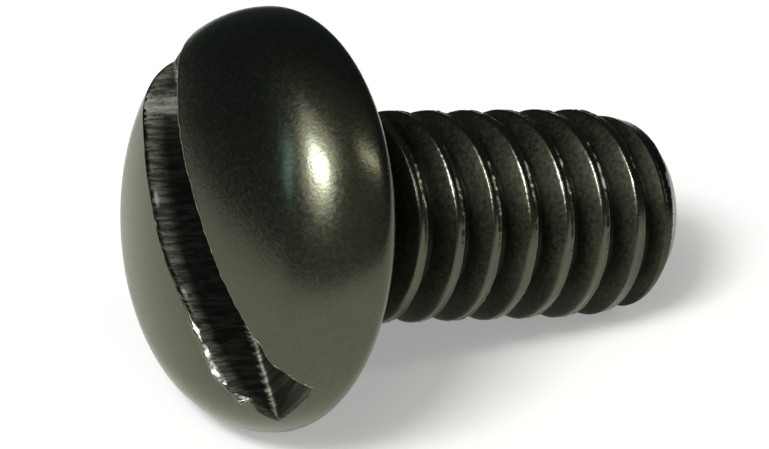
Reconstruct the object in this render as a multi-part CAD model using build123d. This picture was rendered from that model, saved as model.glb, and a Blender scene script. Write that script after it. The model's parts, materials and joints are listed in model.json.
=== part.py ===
"""Slotted pan head machine screw, 1/4-20 UNC by 1/2 inch, rolled thread, steel.

The screw is drawn upright in its own frame: the bearing face under the head
lies on Z = 0, the head stands above it and the threaded shank hangs below.
It is then laid down as it comes to rest on a flat surface, on the rim of its
head and on the last crest before its point, with the point towards +X. The
origin stays at the centre of the bearing face.
"""

import os
from math import atan2, ceil, cos, degrees, radians, sin, tan

from build123d import *

# Head, in millimetres
head_diameter = 12.2
head_height = 3.66
head_corner_radius = 2.45  # round between the crown and the widest ring
rim_radius = 0.58  # round between the widest ring and the bearing face

# Driver slot, in millimetres and degrees
slot_width = 2.1
slot_depth = 2.2
slot_offset = 0.09  # the saw cut runs a little beside the centre
slot_angle = 55.0  # from the uppermost line of the lying screw

# Shank and thread, in millimetres and degrees
shank_length = 12.1
crest_diameter = 6.18
pitch = 1.27
flank_angle = 30.0  # each flank, from square to the axis
crest_width = 0.28
root_width = 0.16
first_crest = 1.17  # from the bearing face, along the uppermost line
runout_length = 1.5  # from the bearing face to the full depth of the thread
neck_fillet = 0.3

# Point, in millimetres and degrees
lead_length = 2.0  # over this much of the point the crests aren't rolled full
lead_drop = 0.38  # how much lower they end than a full crest
chamfer_length = 0.45
chamfer_angle = 54.0  # from the axis

# How far the cutting bodies reach past the metal that they remove
cut_clearance = 0.05

# How far the trimming body's seam line trails the crest at the point, in degrees;
# it then runs over crests there and doesn't split the groove's mouth
seam_lag = 72.0

# The search for the tilt at rest: places tried along the shank, and degrees
rest_samples = 3000
steepest_tilt = 80.0
tilt_step = 1e-6

crest_radius = crest_diameter / 2
half_crest_gap = (pitch - crest_width) / 2
minor_radius = crest_radius - (half_crest_gap - root_width / 2) / tan(radians(flank_angle))

# The crown meets the corner round tangentially, so its radius follows
corner_centre = head_diameter / 2 - head_corner_radius
crown_rise = head_height - rim_radius
crown_radius = (corner_centre**2 + crown_rise**2 - head_corner_radius**2) / (
    2 * (crown_rise - head_corner_radius)
)
crown_centre = head_height - crown_radius
crown_start = degrees(atan2(rim_radius - crown_centre, corner_centre))

lead_start = shank_length - lead_length
chamfer_start = shank_length - chamfer_length
chamfer_radius = crest_radius - lead_drop
end_radius = chamfer_radius - chamfer_length * tan(radians(chamfer_angle))


def head_with_neck():
    """The upset head, the fillet under it and the neck where the thread runs out.

    The neck tapers into the core of the shank, so the groove rises out of its surface.
    """
    bearing_inner = crest_radius + neck_fillet
    taper = (runout_length - neck_fillet) / (crest_radius - minor_radius)
    neck_end = -runout_length - cut_clearance * taper
    outline = Curve() + [
        CenterArc((0, crown_centre), crown_radius, crown_start, 90 - crown_start),
        CenterArc((corner_centre, rim_radius), head_corner_radius, 0, crown_start),
        CenterArc((head_diameter / 2 - rim_radius, rim_radius), rim_radius, -90, 90),
        Line((head_diameter / 2 - rim_radius, 0), (bearing_inner, 0)),
        CenterArc((bearing_inner, -neck_fillet), neck_fillet, 90, 90),
        Polyline(
            (crest_radius, -neck_fillet),
            (minor_radius - cut_clearance, neck_end),
            (0, neck_end),
            (0, head_height),
        ),
    ]
    return revolve(Plane.XZ * make_face(outline), Axis.Z)


def groove_section():
    """One thread groove: a narrow flat root between two flanks, open past the crests."""
    mouth = crest_radius + cut_clearance
    mouth_half = half_crest_gap + cut_clearance * tan(radians(flank_angle))
    return make_face(
        Polyline(
            (minor_radius, root_width / 2),
            (minor_radius, -root_width / 2),
            (mouth, -mouth_half),
            (mouth, mouth_half),
            close=True,
        )
    )


def shank_envelope(top):
    """What the thread is trimmed to: loose round the crests, tapered at the point.

    It is turned so that its seam line keeps its place beside the thread's end.
    """
    loose = crest_radius + cut_clearance
    outline = Polyline(
        (0, -shank_length),
        (0, top),
        (loose, top),
        (loose, cut_clearance - lead_start),
        (crest_radius, -lead_start),
        (chamfer_radius, -chamfer_start),
        (end_radius, -shank_length),
        close=True,
    )
    crest_at_point = -360 * (shank_length - first_crest) / pitch
    turned = Rot(0, 0, crest_at_point - seam_lag)
    return turned * revolve(Plane.XZ * make_face(outline), Axis.Z)


def threaded_shank():
    """A rod with the helical groove rolled all along it, trimmed to the shank."""
    root_in_head = (head_height - slot_depth) / 2
    groove_at_bearing = pitch / 2 - first_crest
    turns_below = ceil((shank_length + groove_at_bearing) / pitch) + 1
    turns_above = ceil((root_in_head - groove_at_bearing) / pitch) + 1
    low = groove_at_bearing - turns_below * pitch
    height = (turns_below + turns_above) * pitch

    helix = Helix(pitch=pitch, height=height, radius=minor_radius)
    groove = Pos(0, 0, low) * sweep(Plane.XZ * groove_section(), path=helix, is_frenet=True)
    rod = Pos(0, 0, low - pitch) * Cylinder(
        crest_radius,
        height + 2 * pitch,
        align=(Align.CENTER, Align.CENTER, Align.MIN),
    )
    return (rod - groove) & shank_envelope(root_in_head)


def driver_slot():
    """The saw cut across the head, open at both ends."""
    blade = Box(
        head_diameter + 2 * cut_clearance,
        slot_width,
        slot_depth + cut_clearance,
        align=(Align.CENTER, Align.CENTER, Align.MIN),
    )
    return Rot(0, 0, slot_angle) * Pos(0, slot_offset, head_height - slot_depth) * blade


def upright_screw():
    """The whole screw, on its own axis."""
    return head_with_neck() + threaded_shank() - driver_slot()


def lowest_line_radius(along):
    """The radius of the thread's lowest line, at a distance from the bearing face."""
    off_crest = abs((along - first_crest) % pitch - pitch / 2)
    on_flank = crest_radius - max(0, off_crest - crest_width / 2) / tan(radians(flank_angle))
    lead_slope = lead_drop / (chamfer_start - lead_start)
    on_lead = crest_radius - (along - lead_start) * lead_slope
    on_chamfer = chamfer_radius - (along - chamfer_start) * tan(radians(chamfer_angle))
    return min(crest_radius, on_flank, on_lead, on_chamfer)


def thread_reach(tilt):
    """How far below the centre of the bearing face the thread reaches, lying at a tilt."""
    places = [shank_length * step / rest_samples for step in range(rest_samples + 1)]
    return max(along * sin(tilt) + lowest_line_radius(along) * cos(tilt) for along in places)


def rim_reach(tilt):
    """How far below the centre of the bearing face the rim reaches, lying at a tilt."""
    inner = head_diameter / 2 - rim_radius
    return inner * cos(tilt) + rim_radius * (1 - sin(tilt))


def rest_tilt():
    """The tilt, in degrees, at which the rim and the lowest crest both touch down."""
    low, high = 0.0, radians(steepest_tilt)
    while high - low > radians(tilt_step):
        middle = (low + high) / 2
        if rim_reach(middle) > thread_reach(middle):
            low = middle
        else:
            high = middle
    return degrees(low)


tilt = rest_tilt()
lay_down = Rot(0, tilt - 90, 0)
screw = lay_down * upright_screw()
screw.label = "screw"
screw.color = Color(0.09, 0.09, 0.08)

os.makedirs("parts", exist_ok=True)
export_step(screw, "parts/screw.step")

box = screw.bounding_box()
on_bearing_face = lay_down * Pos((crest_radius + neck_fillet + head_diameter / 2) / 2, 0, 0)
slot_floor = lay_down * Pos(0, 0, head_height - slot_depth)
print(f"minor diameter {2 * minor_radius:.3f} mm, crown radius {crown_radius:.2f} mm")
print(f"rest tilt {tilt:.3f} degrees, volume {screw.volume:.2f} mm3")
print(f"lowest point {box.min.Z:.4f} mm, size {box.size}")
print(f"point on the bearing face {on_bearing_face.position}")
print(f"centre of the slot floor {slot_floor.position}")
print(f"shank direction {-(lay_down * Plane.XY).z_dir}")
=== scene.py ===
"""Looks of the slotted pan head machine screw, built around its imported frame.

The screw is one piece. Its skin is worked out in millimetres in the screw's own
upright frame, with the bearing face on Z = 0, the head above it and the shank
below, and is then laid down as the frame has it. Angles round the axis run from
the line that is uppermost when the screw lies at rest.
"""

import json
import logging
import math
from dataclasses import dataclass, field
from enum import Enum

import bmesh
import bpy
import mathutils
import numpy as np
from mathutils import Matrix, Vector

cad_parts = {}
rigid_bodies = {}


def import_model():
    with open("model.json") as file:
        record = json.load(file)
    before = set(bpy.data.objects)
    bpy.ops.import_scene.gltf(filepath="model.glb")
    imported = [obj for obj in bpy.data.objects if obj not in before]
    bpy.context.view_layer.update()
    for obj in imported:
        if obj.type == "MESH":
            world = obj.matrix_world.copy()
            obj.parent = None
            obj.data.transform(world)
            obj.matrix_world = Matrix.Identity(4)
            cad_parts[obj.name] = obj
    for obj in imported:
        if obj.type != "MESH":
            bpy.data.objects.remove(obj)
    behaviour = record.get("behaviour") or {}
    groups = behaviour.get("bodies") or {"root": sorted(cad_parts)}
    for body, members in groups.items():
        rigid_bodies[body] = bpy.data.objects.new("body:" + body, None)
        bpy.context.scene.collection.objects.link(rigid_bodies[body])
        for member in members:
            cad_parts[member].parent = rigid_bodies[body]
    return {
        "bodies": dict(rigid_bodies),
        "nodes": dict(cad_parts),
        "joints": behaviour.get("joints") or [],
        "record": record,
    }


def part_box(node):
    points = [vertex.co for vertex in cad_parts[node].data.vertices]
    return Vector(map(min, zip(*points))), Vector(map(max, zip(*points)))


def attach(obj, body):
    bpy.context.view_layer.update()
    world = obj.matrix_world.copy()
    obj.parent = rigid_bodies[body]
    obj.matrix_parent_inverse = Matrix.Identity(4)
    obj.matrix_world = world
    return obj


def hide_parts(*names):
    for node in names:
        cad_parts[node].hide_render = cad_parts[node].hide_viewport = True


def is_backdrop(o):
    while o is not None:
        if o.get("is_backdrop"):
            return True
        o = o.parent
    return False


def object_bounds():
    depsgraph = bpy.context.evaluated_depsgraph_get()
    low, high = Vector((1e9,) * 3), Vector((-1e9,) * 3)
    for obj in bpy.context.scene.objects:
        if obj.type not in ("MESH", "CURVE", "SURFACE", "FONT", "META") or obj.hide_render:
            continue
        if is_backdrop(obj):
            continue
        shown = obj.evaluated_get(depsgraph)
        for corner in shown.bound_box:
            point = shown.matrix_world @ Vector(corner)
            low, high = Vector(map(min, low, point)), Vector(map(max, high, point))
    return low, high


MM = 0.001
TURN = 2 * math.pi
NODE = "screw"
BODY = "root"
PIECE = "pan_head_screw"

# The standard curve from sRGB to linear light: a straight foot, then a power
FOOT_END = 0.04045
FOOT_SLOPE = 12.92
CURVE_LIFT = 0.055
CURVE_POWER = 2.4

# A node's settings, for the kinds that are used most
TIMES = {"operation": "MULTIPLY"}
LARGER = {"operation": "MAXIMUM"}
COLOURS = {"data_type": "RGBA"}

# A node's input or output
Socket = bpy.types.NodeSocket

# Where a rise starts and ends, or where a bell stands and how far it reaches
Pair = tuple[float, float]

log = logging.getLogger("screw")


class Mask(Enum):
    """What a point of the skin carries for the finish, each from 0 to 1."""

    # bare steel: wear, and on the thread's lit side also a painted highlight
    WEAR = "wear"
    CUT = "cut"
    # flanks duller, and darker with painted shade; the point's end face takes it too
    THREAD = "thread"
    # painted shade in the slot's depths, along its near edge, in the thread's roots and under its
    # flanks; also darker where the crests fall short and towards one end of the slot
    DARK = "dark"


def linear(hex_colour: str) -> tuple[float, float, float, float]:
    """Turn an sRGB hex colour into the linear colour that a shader takes.

    Args:
        hex_colour: six hex digits, such as "8a8b80".

    Returns:
        Red, green, blue and an alpha of 1.
    """
    shares = np.array([int(hex_colour[i : i + 2], 16) for i in (0, 2, 4)]) / 255
    power = ((shares + CURVE_LIFT) / (1 + CURVE_LIFT)) ** CURVE_POWER
    curve = np.where(shares <= FOOT_END, shares / FOOT_SLOPE, power)
    return (*curve.tolist(), 1.0)


def ease(low: float, high: float, value: np.ndarray) -> np.ndarray:
    """Rise smoothly from 0 at low to 1 at high: t squared times (3 - 2 t).

    Args:
        low: where the rise starts.
        high: where it ends.
        value: where it is read.

    Returns:
        The height of the rise at each value.
    """
    share = np.clip((value - low) / (high - low), 0, 1)
    return share * share * (3 - 2 * share)


def hump(centre: float, reach: float, value: np.ndarray) -> np.ndarray:
    """A bell of height 1 at centre: e to the minus squared distance over reach squared."""
    return np.exp(-(((value - centre) / reach) ** 2))


def from_line(angles: np.ndarray, line: float) -> np.ndarray:
    """How far angles lie from a line's own, from minus half a turn to half a turn."""
    return (angles - line + math.pi) % TURN - math.pi


@dataclass(frozen=True)
class Uneven:
    """A smooth random line, the same on each run.

    Knots a spacing apart hold random heights, and the line eases from each to
    the next. It is read from its start on, and each side of the slot reads a
    stretch of its own, a side step away from the middle.
    """

    spacing: float
    seed: int
    height: float = 1.0
    start: float = 0.0
    side_step: float = 0.0
    knots: int = 4096

    def at(self, place: np.ndarray, side: int = 0) -> np.ndarray:
        """Read the line.

        Args:
            place: distances along the line.
            side: 1 or -1 for the sides of the slot, or 0.

        Returns:
            Heights, from minus the line's own to plus that.
        """
        heights = np.random.default_rng(self.seed).uniform(-1, 1, self.knots)
        steps = (place + self.side_step * side + self.start) / self.spacing
        whole = np.floor(steps).astype(int)
        rise = ease(0, 1, steps - whole)
        first, second = heights[whole % self.knots], heights[(whole + 1) % self.knots]
        return self.height * (first + (second - first) * rise)


@dataclass(frozen=True)
class Stray:
    """A spot along one side of the slot that departs from the plain cut, in millimetres."""

    side: int
    place: float
    reach: float
    amount: float

    @staticmethod
    def total(strays: tuple, side: int, place: np.ndarray) -> np.ndarray:
        """Add up the bells of one side, each of its own place, reach and height.

        Args:
            strays: the spots.
            side: 1 or -1, which side.
            place: how far along the slot.

        Returns:
            The sum at each place.
        """
        bells = [s.amount * hump(s.place, s.reach, place) for s in strays if s.side == side]
        return sum(bells, np.zeros_like(place))


# How far the slot's edges stray outwards
EDGE_STRAYS = (
    Stray(-1, 0.0, 1.6, 0.09),
    Stray(-1, -4.45, 0.14, 0.06),
    Stray(-1, -5.0, 0.24, -0.08),
    Stray(1, 4.3, 0.7, 0.12),
    Stray(1, -0.3, 1.0, 0.1),
    Stray(1, -4.05, 0.5, 0.24),
    Stray(1, -4.75, 0.15, 0.12),
    Stray(1, -5.3, 0.18, -0.18),
)

# How far the saw turned the edges over
BURRS = (
    Stray(1, -2.8, 0.22, 0.1),
    Stray(1, -3.5, 0.24, 0.07),
    Stray(1, -3.7, 0.8, 0.05),
    Stray(1, -4.2, 0.34, 0.11),
    Stray(1, -5.13, 0.16, 0.16),
    Stray(-1, -4.4, 0.12, 0.04),
)

# How bare the scrapes on the walls are, just under the edges
WALL_FLECKS = (
    Stray(1, 1.35, 0.42, 0.9),
    Stray(1, 0.1, 0.7, 0.3),
    Stray(1, -1.7, 0.2, 0.9),
    Stray(1, -2.2, 0.3, 0.6),
)


@dataclass
class Patch:
    """A grid of points of the skin, with what each point carries for the finish."""

    points: np.ndarray
    masks: dict[Mask, np.ndarray] = field(default_factory=dict)

    def mask(self, kind: Mask) -> np.ndarray:
        """One value for each point, 0 where the patch says nothing of that kind."""
        return np.broadcast_to(self.masks.get(kind, 0.0), self.points.shape[:-1])


@dataclass
class Skin:
    """Gathers patches and strips into one closed mesh."""

    patches: list[Patch] = field(default_factory=list)
    strips: list[tuple[Patch, Patch]] = field(default_factory=list)
    merge: float = 0.0002
    sharp_angle: float = math.radians(38)

    def add(self, patch: Patch) -> Patch:
        """Take in a grid, whose quads join neighbouring rows and columns."""
        self.patches.append(patch)
        return patch

    def stitch(self, outer: Patch, inner: Patch) -> None:
        """Take in a flat ring between two closed loops that have unlike counts."""
        self.strips.append((outer, inner))

    @staticmethod
    def grid_faces(rows: int, columns: int, start: int) -> np.ndarray:
        """Number the quads of a grid: corner (i, j) is start + i times columns + j.

        Args:
            rows: how many rows of points there are.
            columns: how many points a row has.
            start: the number of the first point.

        Returns:
            The quads.
        """
        index = np.arange(rows * columns).reshape(rows, columns) + start
        corners = (index[:-1, :-1], index[1:, :-1], index[1:, 1:], index[:-1, 1:])
        return np.stack(corners, -1).reshape(-1, 4)

    @staticmethod
    def strip_faces(outer: Patch, inner: Patch, start: int) -> np.ndarray:
        """Number the triangles between two loops round the Z axis.

        Each edge of a loop makes a triangle with the point of the other loop
        that lies beside its middle, by angle.

        Args:
            outer: the outer loop, one row of points in order of angle.
            inner: the inner loop, likewise.
            start: the number of the outer loop's first point; the inner follows.

        Returns:
            The triangles.
        """
        rings = [p.points.reshape(-1, 3) for p in (outer, inner)]
        angles = [np.unwrap(np.arctan2(r[:, 1], r[:, 0])) for r in rings]
        counts = [len(r) for r in rings]
        ends = [np.append(a, a[0] + TURN) for a in angles]
        middles = [(e[:-1] + e[1:]) / 2 for e in ends]
        faces = []
        for this, other in ((0, 1), (1, 0)):
            first = ends[1][0] if other else middles[0][0]
            turns = np.floor((middles[this] - first) / TURN)
            beside = np.searchsorted(middles[other], middles[this] - turns * TURN)
            beside = beside % counts[other] + other * counts[0]
            edge = np.arange(counts[this])
            after = (edge + 1) % counts[this] + this * counts[0]
            edge = edge + this * counts[0]
            faces.append(np.stack([edge, beside, after] if this else [edge, after, beside], -1))
        return np.vstack(faces) + start

    def build(self, name: str, place: np.ndarray) -> bpy.types.Object:
        """Make the mesh object, with its patches' edges merged and its faces outwards.

        Args:
            name: the piece's name.
            place: the matrix that takes the screw's own frame to the part's.

        Returns:
            The object, linked to the scene.
        """
        faces, count = [], 0
        for patch in self.patches:
            rows, columns = patch.points.shape[:2]
            faces += self.grid_faces(rows, columns, count).tolist()
            count += rows * columns
        for outer, inner in self.strips:
            faces += self.strip_faces(outer, inner, count).tolist()
            count += (outer.points.size + inner.points.size) // 3
        parts = self.patches + [loop for strip in self.strips for loop in strip]
        points = np.vstack([part.points.reshape(-1, 3) for part in parts])
        mesh = bpy.data.meshes.new(name)
        mesh.from_pydata((points @ place.T * MM).tolist(), [], faces)
        for kind in Mask:
            values = np.concatenate([part.mask(kind).reshape(-1) for part in parts])
            layer = mesh.attributes.new(kind.value, "FLOAT", "POINT")
            layer.data.foreach_set("value", values.astype(np.float32))
        work = bmesh.new()
        work.from_mesh(mesh)
        bmesh.ops.remove_doubles(work, verts=work.verts, dist=self.merge * MM)
        bmesh.ops.recalc_face_normals(work, faces=work.faces)
        open_edges = sum(not edge.is_manifold for edge in work.edges)
        work.to_mesh(mesh)
        work.free()
        mesh.shade_smooth()
        mesh.set_sharp_from_angle(angle=self.sharp_angle)
        mesh.update()
        triangles = sum(len(face.vertices) - 2 for face in mesh.polygons)
        log.info("%s: %d triangles, %d open edges", name, triangles, open_edges)
        obj = bpy.data.objects.new(name, mesh)
        bpy.context.scene.collection.objects.link(obj)
        return obj


def ring_grid(radius: np.ndarray, height: np.ndarray, angles: np.ndarray) -> Patch:
    """Carry a profile round the Z axis: point (i, j) is radius i at angle j.

    Args:
        radius: the profile's distances from the axis, or one for each point.
        height: its heights, likewise.
        angles: the columns' angles, the last one turn after the first.

    Returns:
        The grid.
    """
    radius = radius.reshape(len(radius), -1)
    x, y = radius * np.cos(angles), radius * np.sin(angles)
    z = np.broadcast_to(height.reshape(len(height), -1), x.shape)
    return Patch(np.stack([x, y, z], -1))


@dataclass
class PanHead:
    """The upset head: a shallow crown, a round corner, a small round at the rim."""

    diameter: float
    height: float = 3.66
    corner: float = 2.45
    rim: float = 0.58
    corner_rows: int = 9
    rim_rows: int = 10

    def __post_init__(self) -> None:
        """Work out the crown, which meets the corner round tangentially."""
        self.radius = self.diameter / 2
        self.corner_centre = self.radius - self.corner
        rise = self.height - self.rim
        self.crown = (self.corner_centre**2 + rise**2 - self.corner**2) / (
            2 * (rise - self.corner)
        )
        self.crown_centre = self.height - self.crown
        self.crown_end = math.atan2(self.corner_centre, self.rim - self.crown_centre)
        self.crown_length = self.crown * self.crown_end

    def slope_at(self, radius: np.ndarray) -> np.ndarray:
        """The angle of the surface from flat: an arc's slope is the arcsine of its share.

        Args:
            radius: distances from the axis.

        Returns:
            The crown's slope, or the corner round's past the crown's end.
        """
        on_crown = np.arcsin(np.clip(radius / self.crown, 0, 1))
        on_corner = np.arcsin(np.clip((radius - self.corner_centre) / self.corner, 0, 1))
        return np.where(on_crown < self.crown_end, on_crown, on_corner)

    def length_at(self, radius: np.ndarray) -> np.ndarray:
        """How far the surface runs from the apex: each arc's radius times its angle.

        Args:
            radius: distances from the axis.

        Returns:
            The runs.
        """
        slope = self.slope_at(radius)
        on_corner = self.crown_length + self.corner * (slope - self.crown_end)
        return np.where(slope < self.crown_end, self.crown * slope, on_corner)

    def radius_at(self, length: np.ndarray) -> np.ndarray:
        """The distance from the axis after a run from the apex: length_at, turned round.

        Args:
            length: runs along the surface.

        Returns:
            The distances.
        """
        on_crown = self.crown * np.sin(length / self.crown)
        slope = self.crown_end + (length - self.crown_length) / self.corner
        on_corner = self.corner_centre + self.corner * np.sin(slope)
        return np.where(length < self.crown_length, on_crown, on_corner)

    def height_at(self, radius: np.ndarray) -> np.ndarray:
        """The height over the bearing face: an arc's centre plus radius times cosine.

        Args:
            radius: distances from the axis, inside the widest ring.

        Returns:
            The heights.
        """
        slope = self.slope_at(radius)
        on_crown = self.crown_centre + self.crown * np.cos(slope)
        on_corner = self.rim + self.corner * np.cos(slope)
        return np.where(slope < self.crown_end, on_crown, on_corner)

    def skirt(self, angles: np.ndarray, floor_height: float) -> Patch:
        """The ring from the slot's floor, over the widest ring, to the bearing face.

        Each row is a circle: the corner round from the floor's height to square
        on, then the rim round from square on to facing down.

        Args:
            angles: where the columns stand round the axis.
            floor_height: how high the slot's floor lies.

        Returns:
            The grid, closed round the axis.
        """
        start = math.acos((floor_height - self.rim) / self.corner)
        upper = np.linspace(start, math.pi / 2, self.corner_rows)
        lower = np.linspace(math.pi / 2, math.pi, self.rim_rows)[1:]
        rim_centre = self.radius - self.rim
        radius = [self.corner_centre + self.corner * np.sin(upper)]
        radius.append(rim_centre + self.rim * np.sin(lower))
        height = [self.rim + self.corner * np.cos(upper), self.rim + self.rim * np.cos(lower)]
        return ring_grid(np.concatenate(radius), np.concatenate(height), angles)


@dataclass(frozen=True)
class EdgeForm:
    """How the saw left the slot's edges, walls and floor, in millimetres.

    The least values with their two lines, burr_ridge and mark_lean are shares.
    """

    near_round: float = 0.04
    far_round: float = 0.08
    least_round: float = 0.8
    least_burr: float = 0.8
    plain_ridge: float = 0.004
    burr_ridge: float = 0.4
    ridge_place: float = 0.03
    ridge_reach: float = 0.06
    shift_reach: float = 0.8
    end_rise: Pair = (0.01, 0.4)
    foot_round: float = 0.13
    mark_lean: float = 0.2
    wave: Uneven = Uneven(0.55, 11, height=0.012, start=40, side_step=20)
    nick: Uneven = Uneven(0.18, 12, height=0.006, start=60, side_step=20)
    round_line: Uneven = Uneven(0.18, 12, height=0.4, start=100, side_step=25)
    burr_line: Uneven = Uneven(0.24, 13, height=0.35, start=80, side_step=30)
    tooth_mark: Uneven = Uneven(0.15, 14, height=0.02, start=140, side_step=20)
    floor_mark: Uneven = Uneven(0.17, 15, height=0.016, start=200)


@dataclass(frozen=True)
class SlotWearAndShade:
    """Where the slot is scraped bare, where it is lighter near one end, and where shade is
    painted dark in it: places in millimetres, the rest as shares.

    What a burr bares goes by how far it is turned over, in millimetres.
    """

    # painted shade: a dark line along the slot's near edge
    edge_shade: float = 0.8
    edge_shade_reach: float = 0.06
    burr_height: float = 0.03
    cheek_bare: float = 0.05
    cheek_bare_by_burr: float = 9.0
    cheek_reach: float = 0.11
    far_bare: float = 0.5
    far_line: Pair = (0.02, 0.08)
    wall_bare: float = 0.3
    wall_bare_by_burr: float = 4.0
    wall_line: Pair = (0.02, 0.08)
    fleck_line: Pair = (0.16, 0.12)
    # lighter near one end of the slot
    brightening: float = 0.72
    brightening_line: Pair = (4.4, 0.62)
    # painted shade, darker deeper down the walls; and darker towards the slot's other end
    shade_rise: Pair = (0.15, 0.75)
    end_dark: float = 0.45
    end_rise: Pair = (-3.5, 1.5)
    wall_shade_lifted: float = 0.75
    floor_cut: float = 0.5
    floor_bare: float = 0.8
    foot_bare: float = 0.1
    # painted shade on the slot's floor, between the feet of the walls
    floor_shade: float = 0.52
    floor_shade_lifted: float = 0.4

    def brightened(self, place: np.ndarray) -> np.ndarray:
        """Where the slot is left lightest, near one of its ends."""
        return self.brightening * hump(*self.brightening_line, place)

    def shaded_edge(self, away: np.ndarray, burrs: np.ndarray) -> np.ndarray:
        """Painted shade: a dark line along an edge, which ends where the edge is turned over."""
        whole = 1 - ease(0, self.burr_height, burrs)
        return self.edge_shade * hump(0, self.edge_shade_reach, away) * whole

    def on_cheek(self, side: int, away: np.ndarray, burrs: np.ndarray) -> dict[Mask, np.ndarray]:
        """What a cheek carries: bare burrs, a bare far edge and a line of painted shade by the
        near one.

        Args:
            side: 1 or -1, which cheek.
            away: the distance from the slot's wall.
            burrs: how far the edge is turned over.

        Returns:
            The masks.
        """
        bare = self.cheek_bare + self.cheek_bare_by_burr * burrs
        worn = hump(0, self.cheek_reach, away) * bare
        if side > 0:
            return {Mask.WEAR: np.clip(worn, 0, 1), Mask.DARK: self.shaded_edge(away, burrs)}
        worn = worn + self.far_bare * hump(*self.far_line, away)
        return {Mask.WEAR: np.clip(worn, 0, 1)}

    def on_wall(self, side: int, place: np.ndarray, deep: np.ndarray) -> dict[Mask, np.ndarray]:
        """What a wall carries: bare metal high up and in flecks, lighter metal near one end,
        painted shade deep down, and a darker stretch towards the other end.

        Args:
            side: 1 or -1, which wall.
            place: how far along the slot.
            deep: how far under the edge.

        Returns:
            The masks.
        """
        burrs = Stray.total(BURRS, side, place)
        brightened = self.brightened(place)
        flecks = Stray.total(WALL_FLECKS, side, place) * hump(*self.fleck_line, deep)
        bare = self.wall_bare * side + self.wall_bare_by_burr * burrs
        worn = hump(*self.wall_line, deep) * bare + flecks + brightened
        far_end = 1 - ease(*self.end_rise, place)
        # painted shade deep down, and darker towards the slot's other end
        shaded = ease(*self.shade_rise, deep) + self.end_dark * far_end
        shaded = np.clip(shaded, 0, 1) * (1 - self.wall_shade_lifted * brightened)
        shaded = shaded * (1 - np.clip(flecks, 0, 1))
        return {
            Mask.CUT: np.ones_like(deep),
            Mask.WEAR: np.clip(worn, 0, 1),
            Mask.DARK: np.maximum(shaded, self.shaded_edge(deep, burrs)),
        }

    def on_floor(self, place: np.ndarray, foot: np.ndarray) -> dict[Mask, np.ndarray]:
        """What the floor carries: painted shade between the feet of the walls, less where it is
        brightened near one end.

        Args:
            place: how far along the slot.
            foot: 1 at the foot of a wall, 0 past its round.

        Returns:
            The masks.
        """
        brightened = self.brightened(place)
        # painted shade on the floor, less where brightened
        painted_shade = self.floor_shade - self.floor_shade_lifted * brightened
        return {
            Mask.CUT: self.floor_cut + (1 - self.floor_cut) * np.maximum(brightened, foot),
            Mask.WEAR: self.floor_bare * brightened + self.foot_bare * foot,
            Mask.DARK: (1 - foot) * painted_shade,
        }


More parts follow.
